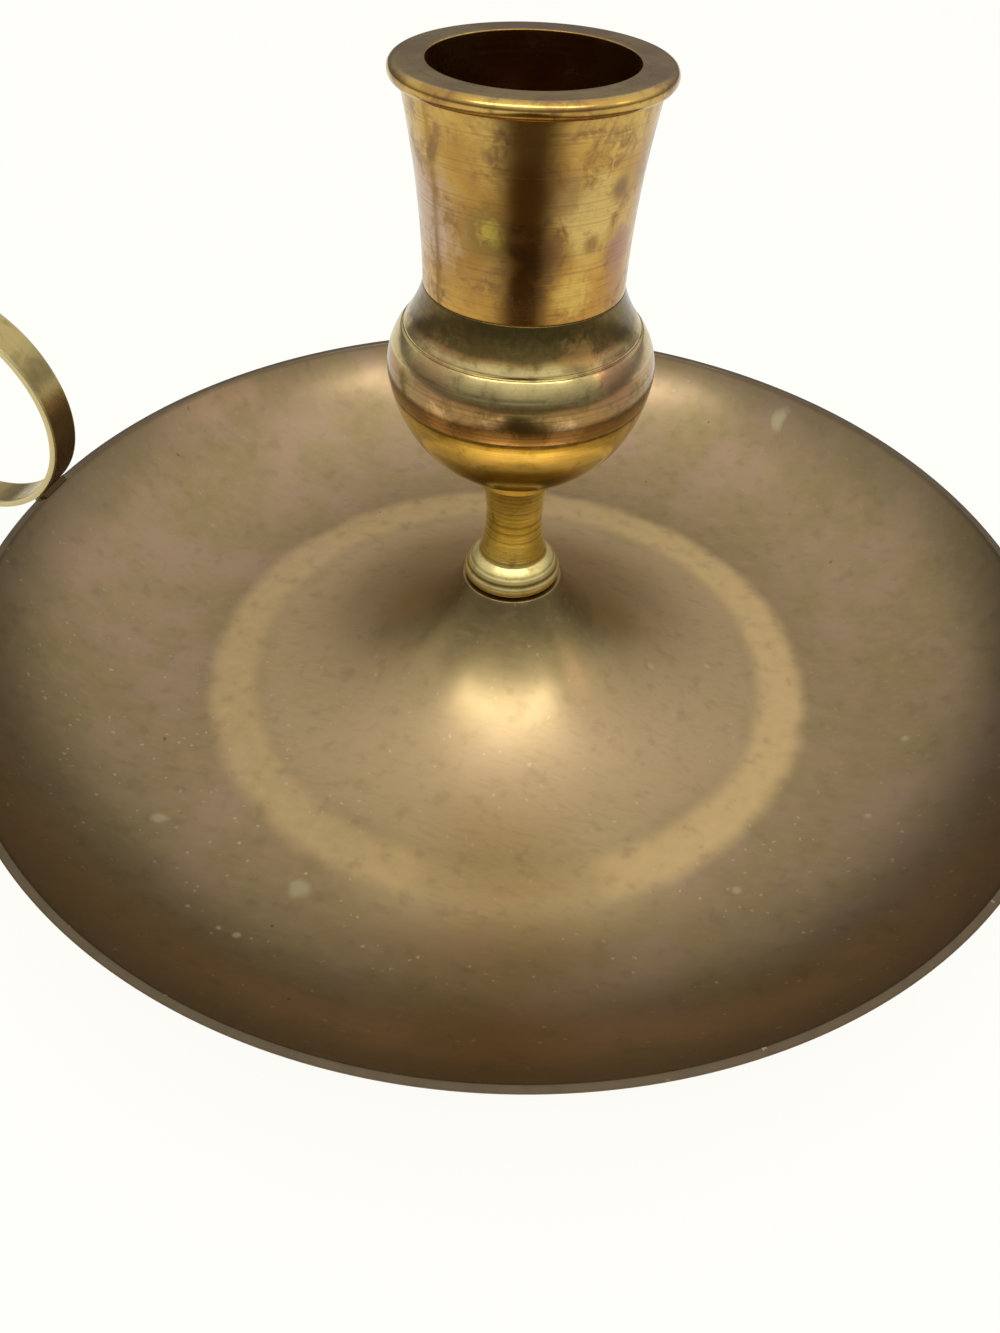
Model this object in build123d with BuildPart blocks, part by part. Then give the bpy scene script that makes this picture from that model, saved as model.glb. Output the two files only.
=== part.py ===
from build123d import *
import os
from math import asin, cos, radians, sin

# Brass chamberstick with a finger loop, in millimetres.
# The origin is on the candle axis at the table, +Z is up and the loop stands over the rim towards -X.

# Dish, spun from sheet
sheet_thickness = 0.9
rim_radius = 77.5
rim_height = 17.6
foot_inner_radius = 39.0
foot_outer_radius = 47.0
land_radius = 7.2
land_height = 19.2

# Stem, turned from bar
collar_radius = 6.9
collar_height = 4.2
collar_groove_depth = 0.15
collar_groove_width = 0.5
upper_collar_radius = 6.6
collar_undercut = 0.6
collar_crown_radius = 6.0
neck_base_radius = 4.9
neck_waist_radius = 3.95
neck_waist_rise = 5.4
neck_top_radius = 4.9
stem_length = 17.1
stem_spigot_radius = 3.4
stem_spigot_height = 1.6

# Bulb, two turned shells that meet at a seam
bulb_radius = 16.6
bulb_wall = 1.6
bowl_depth = 16.8
bowl_foot_radius = 5.8
bowl_foot_height = 0.4
bowl_floor = 3.6
seam_drop = 2.8
seam_register_wall = 0.9
seam_lip_depth = 2.0
seam_lip_wall = 1.2
shoulder_height = 9.7
shoulder_groove_height = 4.5
shoulder_groove_radius = 14.75
shoulder_groove_depth = 0.3
shoulder_groove_width = 0.7
shoulder_top_wall = 3.0

# Candle socket
candle_bore_radius = 11.2
socket_base_radius = 12.0
socket_waist_radius = 12.4
socket_waist_rise = 10.0
socket_mouth_radius = 14.0
socket_lip_radius = 15.2
socket_lip_thickness = 1.8
socket_length = 23.5
socket_floor = 3.2
socket_spigot_radius = 8.6
socket_spigot_depth = 2.4

# Tie bolt with its washer and nut
bolt_radius = 2.0
bolt_head_radius = 3.5
bolt_head_height = 2.4
bolt_slot_width = 1.0
bolt_slot_depth = 1.1
bolt_end_beyond_nut = 1.2
washer_radius = 4.6
washer_thickness = 0.9
nut_across_flats = 7.0
nut_height = 3.2

# Finger loop, a flat strip bent into a ring and brazed to the rim
loop_radius = 18.0
loop_strip_thickness = 1.1
loop_strip_width = 5.6
loop_contact_angle = 40.0
braze_leg = 1.4

# Clearances
hole_clearance = 0.15
spigot_clearance = 0.05
head_clearance = 0.25

# Heights of the stack, each piece seated on the one below
stem_top = land_height + stem_length
bulb_height = stem_top + bowl_foot_height + bowl_depth
seam_height = bulb_height - seam_drop
shoulder_top = bulb_height + shoulder_height
socket_floor_top = shoulder_top + socket_floor
socket_top = shoulder_top + socket_length
bolt_hole_radius = bolt_radius + hole_clearance
bolt_seat = socket_floor_top - bolt_head_height - head_clearance
washer_bottom = land_height - sheet_thickness - washer_thickness
nut_bottom = washer_bottom - nut_height
bolt_end = nut_bottom - bolt_end_beyond_nut


def climbing_arc_radius(run, rise):
    """Radius of an arc that leaves a level line and climbs by rise over run."""
    return (run**2 + rise**2) / (2 * rise)


def climbing_arc_run(radius, rise):
    """How far an arc of that radius runs, from a level line, while it climbs by rise."""
    return (radius**2 - (radius - rise) ** 2) ** 0.5


def ellipse_radius(height, depth, reach):
    """Radius of the bulb's elliptical outline at a height below its widest circle."""
    return reach * (1 - (height / depth) ** 2) ** 0.5


os.makedirs("parts", exist_ok=True)

# Dish: the upper outline is an arc up the boss, a flat ring and an arc up the wall
inner_floor = sheet_thickness
land_underside = land_height - sheet_thickness
boss_radius = climbing_arc_radius(foot_inner_radius - land_radius, land_height - inner_floor)
hollow_radius = boss_radius + sheet_thickness
hollow_land_radius = foot_inner_radius - climbing_arc_run(hollow_radius, land_underside)
skirt_radius = climbing_arc_radius(rim_radius - foot_outer_radius, rim_height)
wall_radius = skirt_radius - sheet_thickness
lip_inner_radius = foot_outer_radius + climbing_arc_run(wall_radius, rim_height - inner_floor)
with BuildPart() as dish:
    with BuildSketch(Plane.XZ):
        with BuildLine():
            land = Line((bolt_hole_radius, land_height), (land_radius, land_height))
            boss = RadiusArc(land @ 1, (foot_inner_radius, inner_floor), -boss_radius)
            ring = Line(boss @ 1, (foot_outer_radius, inner_floor))
            wall = RadiusArc(ring @ 1, (lip_inner_radius, rim_height), -wall_radius)
            lip = Line(wall @ 1, (rim_radius, rim_height))
            skirt = RadiusArc(lip @ 1, (foot_outer_radius, 0), skirt_radius)
            foot = Line(skirt @ 1, (foot_inner_radius, 0))
            hollow = RadiusArc(foot @ 1, (hollow_land_radius, land_underside), hollow_radius)
            under_land = Line(hollow @ 1, (bolt_hole_radius, land_underside))
            Line(under_land @ 1, land @ 0)
        make_face()
    revolve(axis=Axis.Z)
dish.part.label = "dish"

# Stem: double collar below, waisted neck above, a spigot on top and a bore for the bolt
with BuildPart() as stem:
    collar_middle = land_height + collar_height / 2
    collar_top = land_height + collar_height
    with BuildSketch(Plane.XZ):
        with BuildLine():
            seat = Line((bolt_hole_radius, land_height), (collar_radius - collar_undercut, land_height))
            lower_band = ThreePointArc(
                seat @ 1,
                (collar_radius, (land_height + collar_middle) / 2),
                (upper_collar_radius, collar_middle - collar_groove_width / 2),
            )
            groove_in = Line(lower_band @ 1, (upper_collar_radius - collar_groove_depth, collar_middle))
            groove_out = Line(
                groove_in @ 1,
                (upper_collar_radius - collar_groove_depth / 2, collar_middle + collar_groove_width / 2),
            )
            upper_band = RadiusArc(
                groove_out @ 1, (neck_base_radius, collar_top), -collar_crown_radius
            )
            neck = ThreePointArc(
                upper_band @ 1,
                (neck_waist_radius, collar_top + neck_waist_rise),
                (neck_top_radius, stem_top),
            )
            top = Line(neck @ 1, (stem_spigot_radius, stem_top))
            spigot = Line(top @ 1, (stem_spigot_radius, stem_top + stem_spigot_height))
            end = Line(spigot @ 1, (bolt_hole_radius, stem_top + stem_spigot_height))
            Line(end @ 1, seat @ 0)
        make_face()
    revolve(axis=Axis.Z)
stem.part.label = "stem"

# Lower half of the bulb: an elliptical bowl on a small foot that fits over the stem's spigot
bowl_foot_meets = bowl_depth * (1 - (bowl_foot_radius / bulb_radius) ** 2) ** 0.5
bowl_inner_radius = bulb_radius - bulb_wall
bowl_inner_depth = bowl_depth + bowl_foot_height - bowl_floor
seam_radius = ellipse_radius(seam_drop, bowl_depth, bulb_radius)
seam_bore_radius = seam_radius - seam_register_wall
with BuildPart() as bulb_lower:
    with BuildSketch(Plane.XZ):
        with Locations((0, bulb_height)):
            Ellipse(bulb_radius, bowl_depth)
        with Locations((0, (stem_top + bulb_height - bowl_foot_meets) / 2)):
            Rectangle(2 * bowl_foot_radius, bulb_height - bowl_foot_meets - stem_top)
        with Locations((0, bulb_height)):
            Ellipse(bowl_inner_radius, bowl_inner_depth, mode=Mode.SUBTRACT)
        with Locations((bulb_radius, seam_height)):
            Rectangle(
                2 * bulb_radius,
                bowl_depth + seam_drop,
                align=(Align.CENTER, Align.MIN),
                mode=Mode.SUBTRACT,
            )
        with Locations((0, bulb_height)):
            Rectangle(
                2 * bulb_radius,
                4 * bowl_depth,
                align=(Align.MAX, Align.CENTER),
                mode=Mode.SUBTRACT,
            )
    revolve(axis=Axis.Z)
    with Locations(Plane.XY.offset(seam_height)):
        Cylinder(
            seam_bore_radius,
            seam_lip_depth + spigot_clearance,
            align=(Align.CENTER, Align.CENTER, Align.MAX),
            mode=Mode.SUBTRACT,
        )
    with Locations(Plane.XY.offset(stem_top)):
        Cylinder(
            stem_spigot_radius + spigot_clearance,
            stem_spigot_height + spigot_clearance,
            align=(Align.CENTER, Align.CENTER, Align.MIN),
            mode=Mode.SUBTRACT,
        )
        Cylinder(
            bolt_hole_radius,
            bowl_floor + bowl_depth,
            align=(Align.CENTER, Align.CENTER, Align.MIN),
            mode=Mode.SUBTRACT,
        )
bulb_lower.part.label = "bulb_lower"

# Upper half of the bulb: a round shoulder that turns hollow above its groove and drops a lip into the bowl
groove_height = bulb_height + shoulder_groove_height
shoulder_opening = socket_spigot_radius + spigot_clearance
lip_outer_radius = seam_bore_radius - spigot_clearance
lip_inner_bore = lip_outer_radius - seam_lip_wall
with BuildPart() as bulb_upper:
    with BuildSketch(Plane.XZ):
        with BuildLine():
            belly = ThreePointArc(
                (seam_radius, seam_height), (bulb_radius, bulb_height), (shoulder_groove_radius, groove_height)
            )
            throat = TangentArc(
                belly @ 1, (socket_base_radius, shoulder_top), tangent=belly % 1
            )
            ledge = Line(throat @ 1, (shoulder_opening, shoulder_top))
            opening = Line(ledge @ 1, (shoulder_opening, shoulder_top - shoulder_top_wall))
            inside = Line(opening @ 1, (lip_inner_bore, groove_height - shoulder_top_wall))
            lip_inside = Line(inside @ 1, (lip_inner_bore, seam_height - seam_lip_depth))
            lip_end = Line(lip_inside @ 1, (lip_outer_radius, seam_height - seam_lip_depth))
            lip_outside = Line(lip_end @ 1, (lip_outer_radius, seam_height))
            Line(lip_outside @ 1, belly @ 0)
        make_face()
    revolve(axis=Axis.Z)
    with BuildSketch(Plane.XZ):
        with BuildLine():
            Polyline(
                (shoulder_groove_radius + shoulder_groove_width, groove_height),
                (shoulder_groove_radius - shoulder_groove_depth, groove_height),
                (shoulder_groove_radius + shoulder_groove_width, groove_height + 2 * shoulder_groove_width),
                close=True,
            )
        make_face()
    revolve(axis=Axis.Z, mode=Mode.SUBTRACT)
bulb_upper.part.label = "bulb_upper"

# Candle socket: a flared tube with a turned lip, a floor with a recess for the bolt's head and a spigot
with BuildPart() as candle_socket:
    lip_bottom = socket_top - socket_lip_thickness
    with BuildSketch(Plane.XZ):
        with BuildLine():
            flare = ThreePointArc(
                (socket_base_radius, shoulder_top),
                (socket_waist_radius, shoulder_top + socket_waist_rise),
                (socket_mouth_radius, lip_bottom),
            )
            lip_under = Line(flare @ 1, (socket_lip_radius - socket_lip_thickness / 2, lip_bottom))
            lip_edge = RadiusArc(
                lip_under @ 1, (socket_lip_radius - socket_lip_thickness / 2, socket_top), -socket_lip_thickness / 2
            )
            lip_top = Line(lip_edge @ 1, (candle_bore_radius, socket_top))
            bore = Line(lip_top @ 1, (candle_bore_radius, socket_floor_top))
            floor = Line(bore @ 1, (bolt_head_radius + head_clearance, socket_floor_top))
            recess = Line(floor @ 1, (bolt_head_radius + head_clearance, bolt_seat))
            head_seat = Line(recess @ 1, (bolt_hole_radius, bolt_seat))
            hole = Line(head_seat @ 1, (bolt_hole_radius, shoulder_top - socket_spigot_depth))
            spigot_end = Line(hole @ 1, (socket_spigot_radius, shoulder_top - socket_spigot_depth))
            spigot_side = Line(spigot_end @ 1, (socket_spigot_radius, shoulder_top))
            Line(spigot_side @ 1, flare @ 0)
        make_face()
    revolve(axis=Axis.Z)
candle_socket.part.label = "candle_socket"

# Tie bolt: a slotted cheese head in the socket's floor and a shank down to the nut
with BuildPart() as tie_bolt:
    with BuildSketch(Plane.XY.offset(bolt_seat)):
        Circle(bolt_head_radius)
    extrude(amount=bolt_head_height)
    with BuildSketch(Plane.XY.offset(bolt_end)):
        Circle(bolt_radius)
    extrude(amount=bolt_seat - bolt_end)
    with BuildSketch(Plane.XY.offset(bolt_seat + bolt_head_height)):
        Rectangle(3 * bolt_head_radius, bolt_slot_width)
    extrude(amount=-bolt_slot_depth, mode=Mode.SUBTRACT)
tie_bolt.part.label = "tie_bolt"

# Washer and nut under the boss
with BuildPart() as washer:
    with BuildSketch(Plane.XY.offset(washer_bottom)):
        Circle(washer_radius)
        Circle(bolt_hole_radius, mode=Mode.SUBTRACT)
    extrude(amount=washer_thickness)
washer.part.label = "washer"

with BuildPart() as nut:
    with BuildSketch(Plane.XY.offset(nut_bottom)):
        RegularPolygon(nut_across_flats / 2, 6, major_radius=False)
        Circle(bolt_radius, mode=Mode.SUBTRACT)
    extrude(amount=nut_height)
nut.part.label = "nut"

# Finger loop: its outside rests on the lip's outer edge at the contact angle from its lowest point
contact = radians(loop_contact_angle)
loop_centre_x = -(rim_radius + loop_radius * sin(contact))
loop_centre_z = rim_height + loop_radius * cos(contact)
loop_plane = Plane(origin=(loop_centre_x, loop_strip_width / 2, loop_centre_z), x_dir=(1, 0, 0), z_dir=(0, -1, 0))
with BuildPart() as finger_loop:
    with BuildSketch(loop_plane):
        Circle(loop_radius)
        Circle(loop_radius - loop_strip_thickness, mode=Mode.SUBTRACT)
    extrude(amount=loop_strip_width)
finger_loop.part.label = "finger_loop"

# Braze: a fillet on each side of the line where the loop stands on the rim
lip_outer_edge = (-rim_radius, rim_height)
skirt_slope = asin((rim_radius - foot_outer_radius) / skirt_radius)
with BuildPart() as loop_braze:
    with BuildSketch(Plane.XZ):
        with Locations(lip_outer_edge):
            Polygon(
                (braze_leg, 0),
                (braze_leg * cos(contact), braze_leg * sin(contact)),
                (-braze_leg * cos(contact), -braze_leg * sin(contact)),
                (braze_leg * cos(skirt_slope), -braze_leg * sin(skirt_slope)),
                align=None,
            )
    extrude(amount=loop_strip_width / 2, both=True)
    with BuildSketch(loop_plane):
        Circle(loop_radius)
    extrude(amount=loop_strip_width, mode=Mode.SUBTRACT)
    add(dish.part, mode=Mode.SUBTRACT)
loop_braze.part.label = "loop_braze"

pieces = (
    dish,
    stem,
    bulb_lower,
    bulb_upper,
    candle_socket,
    tie_bolt,
    washer,
    nut,
    finger_loop,
    loop_braze,
)
for piece in pieces:
    export_step(piece.part, f"parts/{piece.part.label}.step")
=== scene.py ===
"""Looks of a brass chamberstick with a finger loop, laid over its CAD frame."""
import logging
import math
from dataclasses import dataclass, field
from enum import Enum
from typing import Any, Callable, Mapping, NamedTuple, Optional, Union

import bpy
import numpy as np
from mathutils import Matrix, Vector


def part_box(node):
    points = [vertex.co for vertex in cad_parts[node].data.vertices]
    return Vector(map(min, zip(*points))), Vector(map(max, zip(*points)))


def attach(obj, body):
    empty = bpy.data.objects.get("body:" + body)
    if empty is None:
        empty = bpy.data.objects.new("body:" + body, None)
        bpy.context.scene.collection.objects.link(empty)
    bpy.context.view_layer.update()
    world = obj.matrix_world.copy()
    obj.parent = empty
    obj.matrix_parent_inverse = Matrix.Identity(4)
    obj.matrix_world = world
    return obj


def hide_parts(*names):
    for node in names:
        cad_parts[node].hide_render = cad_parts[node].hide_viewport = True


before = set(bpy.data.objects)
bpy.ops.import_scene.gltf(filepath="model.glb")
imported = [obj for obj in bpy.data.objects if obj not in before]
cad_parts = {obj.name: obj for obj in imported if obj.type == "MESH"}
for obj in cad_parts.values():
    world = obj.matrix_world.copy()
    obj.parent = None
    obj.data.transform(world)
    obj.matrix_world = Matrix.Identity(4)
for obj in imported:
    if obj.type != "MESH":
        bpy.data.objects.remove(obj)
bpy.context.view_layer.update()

MM = 0.001
"""Sizes below are in millimetres, and meshes are in metres."""

ROOT = "root"

Array = np.ndarray
Point = tuple[float, float]
Colour = tuple[float, float, float]
Relief = Callable[[Array, Array], Array]

LOG = logging.getLogger("chamberstick")


class Wire:
    """One value in a material's node tree. Arithmetic on it adds Math nodes."""

    def __init__(self, paint: "Tree", socket: bpy.types.NodeSocket) -> None:
        """Keeps the tree that the value belongs to and the socket it comes out of."""
        self.paint = paint
        self.socket = socket

    def _math(self, operation: str, *values: "Number") -> "Wire":
        """Adds one Math node on the given values."""
        return self.paint.node("ShaderNodeMath", {"operation": operation}, dict(enumerate(values)))

    def __add__(self, other: "Number") -> "Wire":
        """This value plus another."""
        return self._math("ADD", self, other)

    __radd__ = __add__

    def __sub__(self, other: "Number") -> "Wire":
        """This value minus another."""
        return self._math("SUBTRACT", self, other)

    def __rsub__(self, other: "Number") -> "Wire":
        """Another value minus this one."""
        return self._math("SUBTRACT", other, self)

    def __mul__(self, other: "Number") -> "Wire":
        """This value times another."""
        return self._math("MULTIPLY", self, other)

    __rmul__ = __mul__

    def __truediv__(self, other: "Number") -> "Wire":
        """This value divided by another."""
        return self._math("DIVIDE", self, other)

    def root(self) -> "Wire":
        """Square root of this value."""
        return self._math("SQRT", self)

    def size(self) -> "Wire":
        """This value without its sign."""
        return self._math("ABSOLUTE", self)

    def most(self, other: "Number") -> "Wire":
        """The larger of this value and another."""
        return self._math("MAXIMUM", self, other)

    def ramp(self, low: float, high: float) -> "Wire":
        """A smooth step from 0 at low to 1 at high, also where low lies above high.

        Args:
            low: Value that gives 0.
            high: Value that gives 1.

        Returns:
            The stepped value.
        """
        turned = low > high
        ends = {1: min(low, high), 2: max(low, high)}
        step = self.paint.node("ShaderNodeMapRange", {"interpolation_type": "SMOOTHSTEP"}, {0: self, **ends})
        return 1.0 - step if turned else step


Number = Union[Wire, float]


def length(*parts: Wire) -> Wire:
    """Root of the sum of the parts' squares."""
    total = parts[0] * parts[0]
    for part in parts[1:]:
        total = total + part * part
    return total.root()


class Tree:
    """Adds nodes to one node tree."""

    MIX_FACTOR = 0
    MIX_FIRST = 6
    MIX_SECOND = 7
    MIX_RESULT = 2

    def __init__(self, owner: Union[bpy.types.Material, bpy.types.World], output: str) -> None:
        """Empties an owner's tree and keeps it.

        Args:
            owner: The material or world that has the tree.
            output: Blender's name of the tree's output node.
        """
        owner.use_nodes = True
        self.tree = owner.node_tree
        self.tree.nodes.clear()
        self.output = output

    def node(
        self,
        kind: str,
        settings: Optional[Mapping[str, Any]] = None,
        sockets: Optional[Mapping[Union[int, str], Any]] = None,
        output: Union[int, str] = 0,
    ) -> Wire:
        """Adds one node.

        Args:
            kind: Blender's name of the node type.
            settings: Node properties, set before the sockets.
            sockets: Values or wires for its inputs, by name or number.
            output: Which output to hand back.

        Returns:
            The chosen output as a wire.
        """
        made = self.tree.nodes.new(kind)
        for key, value in (settings or {}).items():
            setattr(made, key, value)
        for key, value in (sockets or {}).items():
            if isinstance(value, Wire):
                self.tree.links.new(value.socket, made.inputs[key])
            else:
                made.inputs[key].default_value = value
        return Wire(self, made.outputs[output])

    def parts(self, vector: Wire) -> tuple[Wire, Wire, Wire]:
        """The three parts of a vector."""
        kind = "ShaderNodeSeparateXYZ"
        return tuple(self.node(kind, sockets={0: vector}, output=axis) for axis in range(3))

    def mix(self, share: Number, first: Union[Wire, Colour], second: Union[Wire, Colour]) -> Wire:
        """A colour between two colours.

        Args:
            share: 0 gives the first colour and 1 the second.
            first: One colour.
            second: The other colour.

        Returns:
            The mixed colour.
        """
        ends = {self.MIX_FACTOR: share}
        for key, colour in ((self.MIX_FIRST, first), (self.MIX_SECOND, second)):
            ends[key] = colour if isinstance(colour, Wire) else (*colour, 1.0)
        return self.node("ShaderNodeMix", {"data_type": "RGBA"}, ends, self.MIX_RESULT)

    def seen(self) -> Wire:
        """1 for rays from the camera, a mirror or glass, and 0 for the light on matt surfaces."""
        kinds = ("Camera", "Glossy", "Transmission")
        rays = [self.node("ShaderNodeLightPath", output=f"Is {kind} Ray") for kind in kinds]
        return rays[0].most(rays[1]).most(rays[2])

    def close(self, shader: Wire) -> None:
        """Links a shader to the tree's output."""
        output = self.tree.nodes.new(self.output)
        self.tree.links.new(shader.socket, output.inputs["Surface"])


class Cloud(NamedTuple):
    """Soft noise, by the size of one patch in millimetres and the number of its finer layers.

    The seed picks another pattern, the swirl draws the patches out into swirls, and a squeeze below 1
    draws them out along one axis.
    """

    size: float
    detail: float = 3.0
    seed: float = 0.0
    swirl: float = 0.0
    squeeze: tuple[float, float, float] = (1.0, 1.0, 1.0)


class Specks(NamedTuple):
    """Spots one to a cell: the cell in millimetres, the share of cells that hold one, the radius in cells."""

    cell: float
    share: float
    radius: float
    seed: float = 0.0


class Layer(NamedTuple):
    """A share that grows smoothly while a value goes from none to full."""

    none: float
    full: float
    share: float = 1.0

    def of(self, value: Wire) -> Wire:
        """The share that a value gives."""
        return value.ramp(self.none, self.full) * self.share


class Mottle(NamedTuple):
    """A share that follows noise: at least so much, and more by a spread."""

    least: float
    spread: float

    def of(self, noise: Wire) -> Wire:
        """The share that a noise value gives."""
        return self.least + noise * self.spread


class Paint(Tree):
    """Builds the node tree of one material, with places in millimetres."""

    SHIFT = (17.3, 31.7, 47.9)
    LINE_DETAIL = 3.0
    RAGGED_SIZE = 1.6
    RAGGED_PUSH = 2.4
    RAGGED_SEED = 0.5
    CHANCE_SOFT = 0.8

    def __init__(self, name: str) -> None:
        """Starts a material with the given name."""
        self.material = bpy.data.materials.new(name)
        super().__init__(self.material, "ShaderNodeOutputMaterial")
        metres = self.node("ShaderNodeTexCoord", output="Object")
        self.place = self.vector("SCALE", {0: metres, "Scale": 1 / MM})
        self.x, self.y, self.z = self.parts(self.place)
        self.radius = length(self.x, self.y)

    def vector(self, operation: str, sockets: Mapping[Union[int, str], Any]) -> Wire:
        """Adds one Vector Math node."""
        return self.node("ShaderNodeVectorMath", {"operation": operation}, sockets)

    def shifted(self, seed: float) -> Wire:
        """The place moved far along all three axes, which picks another part of a pattern."""
        return self.vector("ADD", {0: self.place, 1: tuple(seed * shift for shift in self.SHIFT)})

    def cloud(self, cloud: Cloud, output: str = "Fac") -> Wire:
        """Soft noise between 0 and 1.

        Args:
            cloud: The noise.
            output: The noise node's output, "Fac" for a value or "Color" for three.

        Returns:
            The noise value.
        """
        place = self.vector("MULTIPLY", {0: self.shifted(cloud.seed), 1: cloud.squeeze})
        scale = 1 / cloud.size
        sockets = {"Vector": place, "Scale": scale, "Detail": cloud.detail, "Distortion": cloud.swirl}
        return self.node("ShaderNodeTexNoise", sockets=sockets, output=output)

    def lines(self, along: Wire, pitch: float, seed: float = 0.0) -> Wire:
        """Noise that changes along one value only, as tool marks do.

        Args:
            along: Distance across the marks in millimetres.
            pitch: Width of one mark in millimetres.
            seed: Shift that picks another pattern.

        Returns:
            The noise value between 0 and 1.
        """
        sockets = {"W": along + seed, "Scale": 1 / pitch, "Detail": self.LINE_DETAIL}
        return self.node("ShaderNodeTexNoise", {"noise_dimensions": "1D"}, sockets)

    def specks(self, specks: Specks) -> Wire:
        """Small ragged spots scattered one to a cell, in a share of the cells.

        Soft noise pushes each place about first, which makes the spots' outlines ragged.

        Args:
            specks: The spots.

        Returns:
            1 inside a spot and 0 outside.
        """
        reach = specks.cell * specks.radius
        noise = self.cloud(Cloud(reach * self.RAGGED_SIZE, 1, specks.seed + self.RAGGED_SEED), "Color")
        push = self.vector("SCALE", {0: noise, "Scale": reach * self.RAGGED_PUSH})
        place = self.vector("ADD", {0: self.shifted(specks.seed), 1: push})
        sockets = {"Vector": place, "Scale": 1 / specks.cell}
        distance = self.node("ShaderNodeTexVoronoi", sockets=sockets, output="Distance")
        tint = Wire(self, distance.socket.node.outputs["Color"])
        chance = self.node("ShaderNodeSeparateColor", sockets={0: tint})
        spot = distance.ramp(specks.radius, specks.radius / 2)
        return spot * chance.ramp(specks.share, specks.share * self.CHANCE_SOFT)

    def metal(self, tone: Wire, roughness: Wire, height: Wire, depth: float) -> bpy.types.Material:
        """Closes the tree with a metal surface.

        Args:
            tone: Colour of the metal.
            roughness: Its roughness.
            height: Height of its fine relief, between 0 and 1.
            depth: Depth of that relief in millimetres.

        Returns:
            The finished material.
        """
        bump = {"Strength": 1.0, "Distance": depth * MM, "Height": height}
        normal = self.node("ShaderNodeBump", sockets=bump)
        sockets = {"Base Color": tone, "Metallic": 1.0, "Roughness": roughness, "Normal": normal}
        self.close(self.node("ShaderNodeBsdfPrincipled", sockets=sockets))
        return self.material


class Spot(NamedTuple):
    """A chalky blotch at one place on the dish, in millimetres."""

    x: float
    y: float
    radius: float

    def cover(self, paint: Paint, ragged: Wire) -> Wire:
        """1 within the blotch and 0 outside, by the level distance from its middle, with a ragged edge."""
        distance = length(paint.x - self.x, paint.y - self.y) + ragged * (2.0 * self.radius)
        return distance.ramp(self.radius * 1.15, self.radius * 0.35)


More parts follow.
